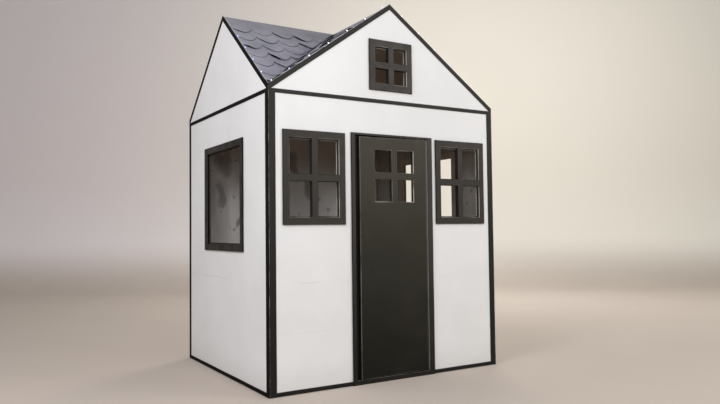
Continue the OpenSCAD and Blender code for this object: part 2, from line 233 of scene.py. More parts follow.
def white_paper():
    """White paper glued over card: flutes, joints across and soft buckles show through."""
    n = Nodes("white_paper", 0.62, 0.35)
    z = n.axis("Z")
    flutes(n, 0.035 * MM)
    n.bump(n.noise(5, 2, 0.5, n.scaled(1, 1, 0.6)), 3.5 * MM)
    n.bump(n.noise(1.4, 1, 0.4, n.scaled(0.5, 0.5, 3.0)), 2.0 * MM)
    waver = n.math("MULTIPLY_ADD", n.noise(3, 2), 0.012, -0.006)
    level = n.math("ADD", z, waver)
    crease = None
    for at, strength in CREASES:
        away = n.math("ABSOLUTE", n.math("SUBTRACT", level, at))
        line = n.math("MULTIPLY", n.ramp(away, 0, 2.2 * MM, 1, 0), strength)
        crease = line if crease is None else n.math("MAXIMUM", crease, line)
    fade = n.ramp(n.axis("X"), -0.45, 0.1, 1, 0.25)
    broken = n.math("MULTIPLY", n.math("MULTIPLY", crease, fade), n.ramp(n.noise(7, 2), 0.4, 0.65))
    n.bump(broken, -0.8 * MM)
    paper_grain(n)
    base = n.mix(n.ramp(n.noise(3.0, 4, 0.6), 0.3, 0.75), srgb(240, 240, 239), srgb(233, 233, 231))
    low = n.ramp(n.math("ADD", z, n.math("MULTIPLY", n.noise(14, 3), 0.05)), 0.03, 0.16, 1, 0)
    base = n.mix(n.math("MULTIPLY", low, 0.3), base, srgb(206, 204, 198))
    base = n.mix(n.math("MULTIPLY", broken, 0.4), base, srgb(192, 190, 187))
    return n.done(base, n.ramp(n.noise(20, 2), 0.3, 0.7, 0.55, 0.7))


# Stains on the inside of the back wall: x, z, half their width and height
BACK_WALL_STAINS = ((-0.355, 0.915, 0.05, 0.085), (-0.385, 0.765, 0.03, 0.08), (0.015, 0.915, 0.035, 0.09),
                    (0.09, 0.8, 0.03, 0.07))


def inner_paper():
    """Inner faces of the walls: pale paper with smudges and stains, and painted shade high up and towards the
    right.
    """
    n = Nodes("inner_paper", 0.8, 0.2)
    height = n.math("MULTIPLY_ADD", n.noise(4, 3), 0.2, n.axis("Z"))
    # Painted shade: darker high up, under the roof
    base = n.mix(n.ramp(height, 0.8, 1.1), srgb(248, 246, 243), srgb(182, 172, 163))
    # Painted shade: darker towards the right-hand corner
    base = n.mix(n.ramp(n.axis("X"), 0.25, 0.5, 0, 0.6), base, srgb(166, 158, 148))
    smudges = n.ramp(n.noise(8, 3, 0.5, n.scaled(1, 1, 0.4), 0.5), 0.5, 0.72, 0, 0.3)
    base = n.mix(smudges, base, srgb(142, 124, 110))
    wander = n.math("MULTIPLY_ADD", n.noise(9, 2, 0.5), 0.12, -0.06)
    across, up = n.math("ADD", n.axis("X"), wander), n.math("SUBTRACT", n.axis("Z"), wander)
    for x, z, wide, high in BACK_WALL_STAINS:
        a = n.math("DIVIDE", n.math("SUBTRACT", across, x), wide)
        b = n.math("DIVIDE", n.math("SUBTRACT", up, z), high)
        away = n.math("MULTIPLY_ADD", a, a, n.math("MULTIPLY", b, b))
        stain = n.math("MULTIPLY", n.ramp(away, 0, 1, 0.55, 0), n.ramp(n.axis("Y"), 0.40, 0.44))
        base = n.mix(stain, base, srgb(78, 62, 50))
    marks = n.ramp(n.noise(26, 3, 0.6, n.scaled(1, 1, 0.6)), 0.64, 0.72, 0, 0.6)
    base = n.mix(marks, base, srgb(96, 86, 80))
    flutes(n, 0.04 * MM)
    paper_grain(n)
    return n.done(base)


def charcoal_card(name, top, low, z_low=0.0, z_high=1.1):
    """Black-painted card, lighter towards the top as painted light and sheen."""
    n = Nodes(name, 0.55, 0.15)
    z = n.axis("Z")
    cloud = n.noise(4.5, 3, 0.55)
    # Painted light: the colour goes from low to top with height, as light and sheen fall from above
    painted_top_light = n.ramp(n.math("MULTIPLY_ADD", cloud, 0.22, z), z_low + 0.1, z_high + 0.1)
    base = n.mix(painted_top_light, low, top)
    warm = n.ramp(n.noise(5, 2, 0.5, distort=0.4), 0.48, 0.72, 0, 0.12)
    base = n.mix(warm, base, srgb(78, 66, 60))
    scuffs = n.ramp(n.noise(60, 5, 0.7, n.scaled(1, 1, 0.25)), 0.66, 0.8, 0, 0.3)
    base = n.mix(scuffs, base, srgb(104, 100, 92))
    n.bump(n.noise(5, 2), 0.8 * MM)
    n.bump(n.noise(240, 3, 0.6, n.scaled(1, 1, 0.12)), 0.05 * MM)
    paper_grain(n, 0.04 * MM)
    return n.done(base, n.ramp(n.noise(25, 3), 0.3, 0.7, 0.42, 0.6))


def worn_highlit_arris(name, dark, light):
    """Arris of painted card, rubbed back to the liner and lighter also as a painted highlight."""
    n = Nodes(name, 0.7, 0.3)
    patches = n.math("MULTIPLY_ADD", n.noise(9, 2, 0.5), 0.7, n.math("MULTIPLY", n.noise(45, 4, 0.65), 0.3))
    base = n.mix(n.ramp(patches, 0.38, 0.6), dark, light)
    n.bump(n.noise(500, 3), 0.15 * MM)
    return n.done(base)


def cut_edge(name, light, dark):
    """Cut edge of corrugated card: two liners with the ends of the flutes between them."""
    n = Nodes(name, 0.85, 0.2)
    along = n.math("ADD", n.math("ADD", n.axis("X"), n.axis("Y")), n.axis("Z"))
    wave = n.math("SINE", n.math("MULTIPLY", along, 2 * math.pi / CUT_FLUTE_PITCH))
    open_flute = n.ramp(wave, 0.1, 0.9)
    base = n.mix(n.math("MULTIPLY", open_flute, 0.6), light, dark)
    base = n.mix(n.ramp(n.noise(70, 4, 0.7), 0.4, 0.7, 0, 0.5), base, dark)
    n.bump(open_flute, -0.6 * MM)
    n.bump(n.noise(420, 3), 0.25 * MM)
    return n.done(base)


def black_paper(name, low, top, specular):
    """Strips of black paper for the trims, lighter towards the top as painted light."""
    n = Nodes(name, 0.6, specular)
    z = n.axis("Z")
    painted_top_light = n.ramp(n.math("MULTIPLY_ADD", n.noise(6, 3), 0.3, z), 0.2, 1.3)
    base = n.mix(painted_top_light, low, top)
    scuffs = n.ramp(n.noise(90, 5, 0.7), 0.62, 0.8, 0, 0.35)
    base = n.mix(scuffs, base, srgb(100, 98, 93))
    n.bump(n.noise(30, 3), 0.5 * MM)
    paper_grain(n)
    return n.done(base)


def fold_wear_and_highlight():
    n = Nodes("fold_wear_and_highlight", 0.6, 0.3)
    # Paler in patches: partly rubbed paper, partly a painted highlight along the fold
    rubbed = n.ramp(n.noise(24, 5, 0.7), 0.4, 0.7)
    return n.done(n.mix(rubbed, srgb(52, 50, 48), srgb(128, 126, 120)))


def slate_card():
    """Grey shingle card, a little lighter and darker from shingle to shingle."""
    n = Nodes("slate_card", 0.6, 0.4)
    patches = n.noise(10, 3, 0.55)
    base = n.mix(n.ramp(patches, 0.3, 0.7), srgb(127, 127, 138), srgb(147, 146, 155))
    green = n.ramp(n.noise(4, 2), 0.5, 0.75, 0, 0.35)
    base = n.mix(green, base, srgb(118, 126, 128))
    base = n.mix(n.ramp(n.axis("Z"), 1.39, 1.45, 0, 0.45), base, srgb(112, 111, 116))
    n.bump(n.noise(35, 3), 0.5 * MM)
    paper_grain(n, 0.06 * MM)
    return n.done(base, n.ramp(n.noise(16, 3), 0.3, 0.7, 0.5, 0.68))


def slate_edge():
    n = Nodes("slate_edge", 0.8, 0.2)
    return n.done(n.mix(n.ramp(n.noise(45, 3), 0.4, 0.6), srgb(130, 130, 140), srgb(154, 153, 162)))


def slate_painted_shade():
    """Near-black painted shade on the part of a shingle that lies under the next course."""
    n = Nodes("slate_painted_shade", 0.85, 0.2)
    return n.done(n.mix(n.noise(30, 3), srgb(14, 14, 16), srgb(26, 26, 30)))


def bare_card():
    """Brown card under the roof, with its flutes."""
    n = Nodes("bare_card", 0.85, 0.2)
    flutes(n, 0.08 * MM)
    paper_grain(n)
    base = n.mix(n.noise(8, 4, 0.6), srgb(180, 163, 148), srgb(206, 189, 172))
    return n.done(base)


def painted_tape():
    """Paper tape, painted over with the door and rubbed paler; lighter towards the top as painted light, like
    the door.
    """
    n = Nodes("painted_tape", 0.6, 0.3)
    painted_top_light = n.ramp(n.math("MULTIPLY_ADD", n.noise(9, 3), 0.3, n.axis("Z")), 0.1, 1.1)
    base = n.mix(painted_top_light, srgb(56, 54, 49), srgb(92, 88, 81))
    n.bump(n.noise(120, 3, 0.5, n.scaled(1, 1, 0.2)), 0.2 * MM)
    return n.done(base)


def lamp_glow():
    n = Nodes("lamp_glow", 0.15, 0.5)
    tint = n.mix(n.ramp(n.noise(3), 0.45, 0.6), srgb(252, 252, 255), srgb(178, 182, 250))
    n.put(n.shader.inputs["Emission Color"], tint)
    n.shader.inputs["Emission Strength"].default_value = 1.1
    return n.done(tint)


def clear_wire():
    n = Nodes("clear_wire", 0.3, 0.5)
    return n.done(n.mix(n.ramp(n.noise(80, 2), 0.4, 0.6), srgb(196, 194, 190), srgb(226, 224, 220)))


def case_plastic():
    n = Nodes("case_plastic", 0.4, 0.5)
    n.bump(n.noise(700, 2), 0.02 * MM)
    return n.done(n.mix(n.noise(12), srgb(232, 230, 224), srgb(224, 222, 216)))


WHITE = white_paper()
INNER = inner_paper()
# Charcoal cards: their top and low colours are painted light and sheen, strongest on the door and its frame
FRAME = charcoal_card("charcoal_frame", srgb(62, 58, 54), srgb(54, 51, 47), 0.5, 1.3)
DOOR_FRAME = charcoal_card("charcoal_door_frame", srgb(62, 58, 54), srgb(33, 31, 28), 0.05, 0.75)
# A darker copy of the charcoal card for the side windows' frames: painted shade
SHADED_SIDE_FRAME = charcoal_card("charcoal_side_frame", srgb(29, 27, 25), srgb(29, 27, 25))
# Near-black stop behind the door, darker than the black paint: painted shade for the deep slot round the door
SHADED_STOP = charcoal_card("charcoal_stop_shaded", srgb(14, 13, 12), srgb(9, 9, 8))
DOOR = charcoal_card("charcoal_door", srgb(66, 63, 54), srgb(22, 23, 17))
ARRIS = worn_highlit_arris("worn_highlit_arris", srgb(62, 59, 55), srgb(168, 163, 154))
DOOR_ARRIS = worn_highlit_arris("worn_highlit_door_arris", srgb(66, 62, 57), srgb(106, 102, 95))
EDGE = cut_edge("frame_edge", srgb(190, 186, 176), srgb(92, 88, 82))
WAY_EDGE = cut_edge("doorway_edge", srgb(98, 93, 86), srgb(38, 36, 34))
# Near-black cut edges: black paint, made darker still as painted shade in the reveals, grooves and slots
# where they lie
DARK_EDGE = cut_edge("dark_edge", srgb(26, 24, 23), srgb(9, 9, 9))
TRIM_PAPER = black_paper("black_paper", srgb(30, 29, 28), srgb(48, 47, 44), 0.15)
# A darker copy of the black paper for the side trims and round the corner trims' folds and sides: painted
# shade
SHADED_SIDE_PAPER = black_paper("black_side_paper", srgb(12, 11, 11), srgb(16, 15, 15), 0.04)
TRIM_FOLD = fold_wear_and_highlight()
SLATE = slate_card()
SLATE_EDGE = slate_edge()
SLATE_SHADE = slate_painted_shade()
BARE = bare_card()
TAPE = painted_tape()
GLOW = lamp_glow()
WIRE = clear_wire()
CASE = case_plastic()


# Sheets of card
def on_side(side):
    """Takes a sheet drawn as seen from outside to its side of the house."""
    return Matrix.Translation((0, SET_BACK, 0)) @ Matrix.Rotation(math.radians(side), 4, "Z")


def rectangle(x0, x1, z0, z1):
    return [(x0, z0), (x1, z0), (x1, z1), (x0, z1)]


def around(x, z, w, h):
    return rectangle(x - w / 2, x + w / 2, z - h / 2, z + h / 2)


def four_lights(x, z, w, h, border):
    """The four holes of a frame whose glazing bars cross in its middle."""
    pane_w = (w - BAR) / 2 - border
    pane_h = (h - BAR) / 2 - border
    return [around(x + sx * (pane_w + BAR) / 2, z + sz * (pane_h + BAR) / 2, pane_w, pane_h)
            for sz in (-1, 1) for sx in (-1, 1)]


def fine(loop, step, wander, key):
    """The outline with points each step, its long edges wandering as a hand cut does."""
    out = []
    for i, a in enumerate(loop):
        b = loop[(i + 1) % len(loop)]
        a, b = Vector(a), Vector(b)
        along = b - a
        length = along.length
        across = Vector((-along.y, along.x)) / length
        count = max(1, round(length / step))
        for k in range(count):
            t = k / count
            ease = min(1, 6 * t * (1 - t))
            shift = wander * ease * noise(Vector((length * t * 9, key * 3.7 + i * 1.9, 0.5)))
            out.append(a + along * t + across * shift)
    return out


def inset(loop, distance):
    """The loop moved to its left by a distance, mitred at its corners."""
    out = []
    count = len(loop)
    for i, p in enumerate(loop):
        into = (p - loop[i - 1]).normalized()
        out_of = (loop[(i + 1) % count] - p).normalized()
        n1, n2 = Vector((-into.y, into.x)), Vector((-out_of.y, out_of.x))
        middle = n1 + n2
        out.append(p + middle * (distance / max(0.5, middle.dot(n1))))
    return out


def signed_area(loop):
    return sum(a[0] * b[1] - b[0] * a[1] for a, b in zip(loop, loop[1:] + loop[:1])) / 2


def inside(p, loop):
    hit = False
    for a, b in zip(loop, loop[1:] + loop[:1]):
        if (a.y > p.y) != (b.y > p.y) and p.x < (b.x - a.x) * (p.y - a.y) / (b.y - a.y) + a.x:
            hit = not hit
    return hit


def in_sheet(p, loops):
    """Whether a point lies inside the first loop, the outline, and in none of the others, the holes."""
    return inside(p, loops[0]) and not any(inside(p, loop) for loop in loops[1:])


def grid_points(loops, grid):
    """Points of a grid over a sheet, clear of its edges."""
    x0, x1 = min(p.x for p in loops[0]), max(p.x for p in loops[0])
    z0, z1 = min(p.y for p in loops[0]), max(p.y for p in loops[0])
    spots = [Vector((x0 + i * grid, z0 + j * grid))
             for i in range(1, int((x1 - x0) / grid)) for j in range(1, int((z1 - z0) / grid))]
    clear = [inset(loop, grid / 3) for loop in loops]
    return [p for p in spots if in_sheet(p, clear)]


def board(name, side, distance, thick, outline, holes, mats, arris=ARRIS_WEAR, wander=WANDER,
          step=EDGE_STEP, swell=0.0, grid=None, cross=None):
    """A sheet of card with holes. mats are its face, back, outer arris and edge, hole arris and edge.

    The face sinks by up to swell between points of a grid, so that a large sheet isn't dead flat.
    Edges of the holes beside glazing bars, which cross at a given point, are finished as outer ones.
    """
    key = sum(map(ord, name)) % 97
    loops = []
    for i, loop in enumerate([outline] + list(holes)):
        if (signed_area(loop) > 0) != (i == 0):
            loop = loop[::-1]
        loops.append(fine(loop, step, wander, i + key))
    verts, faces, kinds = [], [], []

    def sunk(p):
        return -swell * (0.5 + 0.5 * noise(Vector((p.x * 3.1, p.y * 3.1, key)))) if swell else 0.0

    def on_bar(p):
        return cross and min(abs(p.x - cross[0]), abs(p.y - cross[1])) < BAR * 0.6

    def layer(sets, y):
        starts = []
        for loop in sets:
            starts.append(len(verts))
            verts.extend((p.x, -(distance + y + sunk(p)), p.y) for p in loop)
        return starts

    def bridge(low, high, outer_kind, hole_kind):
        for i, (first, second, loop) in enumerate(zip(low, high, loops)):
            count = len(loop)
            for k in range(count):
                m = (k + 1) % count
                faces.append((first + k, first + m, second + m, second + k))
                kinds.append(outer_kind if i == 0 or on_bar((loop[k] + loop[m]) / 2) else hole_kind)

    shrunk = [inset(loop, arris) for loop in loops]
    back_in = layer(shrunk, 0)
    back_out = layer(loops, arris)
    front_out = layer(loops, thick - arris)
    front_in = layer(shrunk, thick)
    bridge(back_in, back_out, 2, 4)
    bridge(back_out, front_out, 3, 5)
    bridge(front_out, front_in, 2, 4)

    points = [p for loop in shrunk for p in loop]
    edges = []
    start = 0
    for loop in shrunk:
        edges += [(start + k, start + (k + 1) % len(loop)) for k in range(len(loop))]
        start += len(loop)
    extra = grid_points(loops, grid) if grid else []
    front_extra = layer([extra], thick)[0]
    back_extra = layer([extra], 0)[0]
    flat, _, tris, origins, _, _ = delaunay_2d_cdt(points + extra, edges, [], 0, 1e-7)
    count = len(points)
    for tri in tris:
        middle = sum((flat[v] for v in tri), Vector((0, 0))) / len(tri)
        if not in_sheet(middle, shrunk):
            continue
        ids = [origins[v][0] for v in tri]
        faces.append([front_in[0] + k if k < count else front_extra + k - count for k in ids])
        kinds.append(0)
        faces.append([back_in[0] + k if k < count else back_extra + k - count for k in reversed(ids)])
        kinds.append(1)
    return solid(name, verts, faces, mats, kinds, on_side(side))


def solid(name, verts, faces, mats, kinds, turn=None, smooth=()):
    """A mesh object. kinds gives each face's finish, smooth the finishes that are shaded smooth."""
    mesh = bpy.data.meshes.new(name)
    mesh.from_pydata(verts, [], faces)
    for mat in mats:
        mesh.materials.append(mat)
    mesh.polygons.foreach_set("material_index", kinds)
    if turn:
        mesh.transform(turn)
    shape = bmesh.new()
    shape.from_mesh(mesh)
    bmesh.ops.recalc_face_normals(shape, faces=shape.faces)
    for face in shape.faces:
        face.smooth = face.material_index in smooth
    shape.to_mesh(mesh)
    shape.free()
    piece = bpy.data.objects.new(name, mesh)
    bpy.context.collection.objects.link(piece)
    return piece


def stand_for(piece, node, body):
    """Puts a piece in the place of a node of the model."""
    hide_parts(node)
    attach(piece, body)


FRAME_MATS = (FRAME, FRAME, DARK_EDGE, DARK_EDGE, ARRIS, EDGE)
INNER_FRAME_MATS = (FRAME, BARE, DARK_EDGE, DARK_EDGE, ARRIS, EDGE)
SHADED_SIDE_FRAME_MATS = (SHADED_SIDE_FRAME, FRAME, DARK_EDGE, DARK_EDGE, SHADED_SIDE_FRAME, WAY_EDGE)
SHADED_SIDE_INNER_FRAME_MATS = (SHADED_SIDE_FRAME, BARE, DARK_EDGE, DARK_EDGE, SHADED_SIDE_FRAME, WAY_EDGE)
DOOR_FRAME_MATS = (DOOR_FRAME, DOOR_FRAME, DARK_EDGE, DARK_EDGE, DOOR_FRAME, WAY_EDGE)
SHADED_STOP_MATS = (SHADED_STOP, BARE, DARK_EDGE, DARK_EDGE, SHADED_STOP, SHADED_STOP)
DOOR_MATS = (DOOR, DOOR, DOOR_ARRIS, DARK_EDGE, ARRIS, EDGE)
DOOR_BACK_MATS = (DOOR, DOOR, DARK_EDGE, DARK_EDGE, DARK_EDGE, DARK_EDGE)
CORE_MATS = (DARK_EDGE,) * 6
WALL_MATS = (WHITE, INNER, DARK_EDGE, DARK_EDGE, DARK_EDGE, DARK_EDGE)
GABLE_MATS = (WHITE, BARE, DARK_EDGE, DARK_EDGE, DARK_EDGE, DARK_EDGE)
TRIM_MATS = (TRIM_PAPER,) * 6
SHADED_SIDE_TRIM_MATS = (SHADED_SIDE_PAPER,) * 6


# Window frames
def span(node, side):
    """Middle, width and height of a flat node as seen from its side."""
    low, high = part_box(node)
    turn = on_side(side).inverted()
    a, b = turn @ low, turn @ high
    x0, x1 = sorted((a.x, b.x))
    return (x0 + x1) / 2, (low.z + high.z) / 2, x1 - x0, high.z - low.z


def window(node, side, distance, border, barred, mats):
    """One layer of a window's frame, with glazing bars or open."""
    x, z, w, h = span(node, side)
    if barred:
        holes = four_lights(x, z, w, h, border)
    else:
        holes = [around(x, z, w - 2 * border, h - 2 * border)]
    piece = board(node + "_card", side, distance, CARD, around(x, z, w, h), holes, mats,
                  cross=(x, z) if barred else None)
    stand_for(piece, node, "house")


for stem, side, reach, barred in (
    ("front_left_window", FRONT, HALF_D, True),
    ("front_right_window", FRONT, HALF_D, True),
    ("gable_window", FRONT, HALF_D, True),
    ("left_window", LEFT, HALF_W, False),
    ("right_window", RIGHT, HALF_W, False),
):
    outer, inner = FRAME_MATS, INNER_FRAME_MATS
    if side != FRONT:
        outer, inner = SHADED_SIDE_FRAME_MATS, SHADED_SIDE_INNER_FRAME_MATS
    window(stem + "_frame", side, reach, BORDER, barred, outer)
    window(stem + "_inner_frame", side, reach - 2 * CARD, INNER_BORDER, barred, inner)


# Walls and gables: how far their faces sink at most, on a grid of points, and how cleanly they are cut
WALL_SWELL = 1.2 * MM
WALL_GRID = 60 * MM
WALL_STEP = 60 * MM
WALL_WEAR = 0.3 * MM
WALL_WANDER = 0.1 * MM
# How far a hole stands back from the opening of the frame over it
HOLE_BACK = 6 * MM

# Doorway and door, as seen from the front
DOOR_FRAME_X = (-187 * MM, 195 * MM)
DOOR_FRAME_TOP = 953 * MM
DOORWAY_X = (-170 * MM, 172 * MM)
DOORWAY_Z = (17 * MM, 945 * MM)
HINGE_X = 170.6 * MM
LEAF_X = (-150.5 * MM, 170.3 * MM)
SHEET_X1 = HINGE_X - 8 * MM
LEAF_Z = (19 * MM, 939 * MM)
SAG = 4 * MM
STOP_LAP = 9 * MM
BACK_GAP = 3 * MM
DOOR_PLAY = 0.5 * MM
LIGHT = (77 * MM, 87 * MM)
LIGHT_DROP = 51 * MM
FRONT_SHEET_WEAR = 2.2 * MM


def leaf(x0, x1, z0, z1):
    return [(x0, z0), (x1, z0 + SAG), (x1, z1 + SAG), (x0, z1)]


def pitch(run):
    """Angle of a slope: its sheet's upper face starts at the ridge, its lower face ends at the wall's top."""
    return math.acos(CARD / math.hypot(run, ROOF_RISE)) - math.atan2(run, ROOF_RISE)


def make_wall(node, side, reach, half, holes):
    outline = rectangle(-half, half, 0, WALL_H)
    piece = board(node + "_card", side, reach - CARD, CARD, outline, holes, WALL_MATS,
                  WALL_WEAR, WALL_WANDER, WALL_STEP, WALL_SWELL, WALL_GRID)
    stand_for(piece, node, "house")


def make_gable(node, side, reach, half, run, holes):
    """A gable under the roof sheet; one that is narrower than the roof's run has upright ends."""
    slope = math.tan(pitch(run))
    heel = WALL_H + (run - half) * slope
    outline = [(-half, WALL_H), (half, WALL_H), (0, WALL_H + run * slope)]
    if half < run:
        outline = [(-half, WALL_H), (half, WALL_H), (half, heel), (0, WALL_H + run * slope), (-half, heel)]
    piece = board(node + "_card", side, reach - CARD, CARD, outline, holes, GABLE_MATS,
                  WALL_WEAR, WALL_WANDER, WALL_STEP, WALL_SWELL, WALL_GRID)
    stand_for(piece, node, "house")


def hole_behind(node, side):
    x, z, w, h = span(node, side)
    back = 2 * (BORDER - HOLE_BACK)
    return around(x, z, w - back, h - back)


make_wall("front_wall", FRONT, HALF_D, HALF_W, [
    hole_behind("front_left_window_frame", FRONT),
    hole_behind("front_right_window_frame", FRONT),
    rectangle(DOORWAY_X[0], HINGE_X, *DOORWAY_Z),
])
make_wall("back_wall", BACK, HALF_D, HALF_W, [])
make_wall("left_wall", LEFT, HALF_W, HALF_D - CARD, [hole_behind("left_window_frame", LEFT)])
make_wall("right_wall", RIGHT, HALF_W, HALF_D - CARD, [hole_behind("right_window_frame", RIGHT)])
make_gable("front_gable", FRONT, HALF_D, HALF_W, HALF_W, [hole_behind("gable_window_frame", FRONT)])
make_gable("back_gable", BACK, HALF_D, HALF_W, HALF_W, [])
make_gable("left_gable", LEFT, HALF_W, HALF_D - CARD, HALF_D, [])
make_gable("right_gable", RIGHT, HALF_W, HALF_D - CARD, HALF_D, [])


# Door and its frame
def make_door():
    frame_outline = rectangle(*DOOR_FRAME_X, 0, DOOR_FRAME_TOP)
    way = rectangle(*DOORWAY_X, *DOORWAY_Z)
    piece = board("door_frame_card", FRONT, HALF_D, CARD, frame_outline, [way], DOOR_FRAME_MATS)
    stand_for(piece, "door_frame", "house")
    stop_x = (LEAF_X[0] + STOP_LAP, LEAF_X[1] - STOP_LAP)
    stop_z = (LEAF_Z[0] + SAG + STOP_LAP, LEAF_Z[1] - STOP_LAP)
    piece = board("door_inner_frame_card", FRONT, HALF_D - 2 * CARD, CARD, frame_outline,
                  [rectangle(*stop_x, *stop_z)], SHADED_STOP_MATS)
    stand_for(piece, "door_inner_frame", "house")

    middle_x = sum(LEAF_X) / 2
    lights_w, lights_h = 2 * LIGHT[0] + BAR, 2 * LIGHT[1] + BAR
    middle_z = LEAF_Z[1] + SAG - LIGHT_DROP - lights_h / 2
    lights = four_lights(middle_x, middle_z, lights_w, lights_h, 0)
    core_hole = around(middle_x, middle_z, lights_w + 2 * HOLE_BACK, lights_h + 2 * HOLE_BACK)
    back = leaf(stop_x[0] + BACK_GAP, stop_x[1] - BACK_GAP, stop_z[0] + BACK_GAP, stop_z[1] - BACK_GAP - SAG)
    sheets = (
        ("door_front_sheet", HALF_D, CARD, leaf(LEAF_X[0], SHEET_X1, *LEAF_Z), lights,
         DOOR_MATS, FRONT_SHEET_WEAR),
        ("door_core", HALF_D - CARD + DOOR_PLAY, CARD - DOOR_PLAY, leaf(*LEAF_X, *LEAF_Z), [core_hole],
         CORE_MATS, ARRIS_WEAR),
        ("door_back_sheet", HALF_D - 2 * CARD + DOOR_PLAY, CARD, back, lights,
         DOOR_BACK_MATS, ARRIS_WEAR),
    )
    for node, distance, thick, outline, holes, mats, arris in sheets:
        piece = board(node + "_card", FRONT, distance, thick, outline, holes, mats, arris,
                      cross=(middle_x, middle_z))
        stand_for(piece, node, "door")


make_door()


# Trims
TRIM_WEAR = 0.2 * MM
STRIP_WANDER = 0.5 * MM
RAKE_WANDER = 0.4 * MM

# Corner trims: radius of the fold and faces round it, width beside it that is rubbed and painted with a
# highlight, step between points up it
FOLD = 2.2 * MM
FOLD_TURNS = 4
FOLD_BAND = 2.0 * MM
RISE = 30 * MM


def corner_trim(node, sx, sy):
    """A strip folded round a corner, its free edges cut by hand; beside its fold it is rubbed and painted
    with a highlight, and round the fold and on its side it takes the darker, shaded paper.
    """
    low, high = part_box(node)
    x = low.x if sx < 0 else high.x
    y = low.y if sy < 0 else high.y
    wide, deep = high.x - low.x, high.y - low.y
    count = round((high.z - low.z) / RISE)
    verts, faces, kinds = [], [], []
    key = sum(map(ord, node))

    def profile(z, shift):
        """Points from the front's free edge round the fold to the side's free edge."""
        a = STRIP_WANDER * noise(Vector((z * 8, key, 0)))
        b = STRIP_WANDER * noise(Vector((z * 8, key, 5)))
        points = [(wide + a, shift), (wide * 0.4, shift), (FOLD + FOLD_BAND, shift), (FOLD, shift)]
        for k in range(1, FOLD_TURNS):
            t = math.pi / 2 * k / FOLD_TURNS
            points.append((FOLD - (FOLD - shift) * math.sin(t), FOLD - (FOLD - shift) * math.cos(t)))
        return points + [(shift, FOLD), (shift, deep * 0.4), (shift, deep + b)]

    size = len(profile(0, 0))
    for j in range(count + 1):
        z = low.z + (high.z - low.z) * j / count
        for shift in (0, TRIM):
            verts += [(x - sx * px, y - sy * py, z) for px, py in profile(z, shift)]
    ring = 2 * size
    loop = list(range(size)) + list(range(ring - 1, size - 1, -1))
    for j in range(count):
        for k in range(ring):
            a, b = loop[k], loop[(k + 1) % ring]
            faces.append((j * ring + a, j * ring + b, (j + 1) * ring + b, (j + 1) * ring + a))
            kinds.append(1 if k == 2 else 2 if 2 < k < size else 0)
    for j in (0, count):
        for k in range(size - 1):
            faces.append((j * ring + k, j * ring + k + 1, j * ring + size + k + 1, j * ring + size + k))
            kinds.append(0)
    piece = solid(node + "_paper", verts, faces, (TRIM_PAPER, TRIM_FOLD, SHADED_SIDE_PAPER), kinds)
    stand_for(piece, node, "house")


for front_back, sy in (("front", -1), ("back", 1)):
    for hand, sx in (("left", -1), ("right", 1)):
        corner_trim(front_back + "_" + hand + "_corner_trim", sx, sy)


def trim_mats(side):
    return SHADED_SIDE_TRIM_MATS if side in (LEFT, RIGHT) else TRIM_MATS


def strip_trim(node, side, reach):
    x, z, w, h = span(node, side)
    piece = board(node + "_paper", side, reach, TRIM, around(x, z, w, h), [], trim_mats(side),
                  TRIM_WEAR, STRIP_WANDER)
    stand_for(piece, node, "house")


def rake_trim(node, side, reach, run):
    angle = pitch(run)
    over = COURSE_DEPTH * math.sin(LAY) + SHINGLE_T
    top = RIDGE_H + over / math.cos(angle)
    inner = top - RAKE_TRIM_W / math.cos(angle)
    foot = (inner - WALL_H) / math.tan(angle)
    end = top - run * math.tan(angle)
    outline = [(-run, WALL_H), (-foot, WALL_H), (0, inner), (foot, WALL_H), (run, WALL_H),
               (run, end), (0, top), (-run, end)]
    piece = board(node + "_paper", side, reach, TRIM, outline, [], trim_mats(side), TRIM_WEAR, RAKE_WANDER)
    stand_for(piece, node, "house")


for name, side, reach, run in (("front", FRONT, HALF_D, HALF_W), ("right", RIGHT, HALF_W, HALF_D),
                               ("back", BACK, HALF_D, HALF_W), ("left", LEFT, HALF_W, HALF_D)):
    strip_trim(name + "_eave_trim", side, reach)
    rake_trim(name + "_rake_trim", side, reach, run)
    if side != FRONT:
        strip_trim(name + "_base_trim", side, reach)
strip_trim("front_left_base_trim", FRONT, HALF_D)
strip_trim("front_right_base_trim", FRONT, HALF_D)


# Shingles: courses end short of a valley by the gap and up to so many mm more, and where a column
# would be shorter than the shortest
VALLEY_GAP = 4 * MM
VALLEY_RAGGED_MM = 5
SHORTEST = 4 * MM

# Tabs: columns of points across one, the power that rounds its end, its length's spread in mm
COLUMNS = 12
TAB_POWER = 1.7
DROP_MM = 1.5

# Curl in mm at a tab's corner towards the gable, at its other corner and in its middle: the most, and
# the power of the random draw, which keeps most tabs well under it
LEAST_CURL = 0.4
CURLS = ((9.0, 2.2), (3.0, 3), (1.6, 2))

# Rows of points up a shingle, as shares of a course step from its lower edge
ROWS = (0.985, 0.8, 0.65, 0.5, 0.36, 0.23, 0.11, 0)


class Slope:
    """One slope of a wing. s runs down from the ridge, y from the gable at -reach to the crossing at 0."""

    def __init__(self, run, reach):
        self.run, self.reach = run, reach
        self.angle = pitch(run)
        self.length = run / math.cos(self.angle)

    def point(self, flip, s, y, h):
        x = s * math.cos(self.angle) + h * math.sin(self.angle)
        return (-x if flip else x, y, RIDGE_H - s * math.sin(self.angle) + h * math.cos(self.angle))

    def valley(self, y, gap):
        """How far down the slope goes before it meets the next wing, less a gap along the ridge."""
        return self.length * (-y - gap) / self.reach


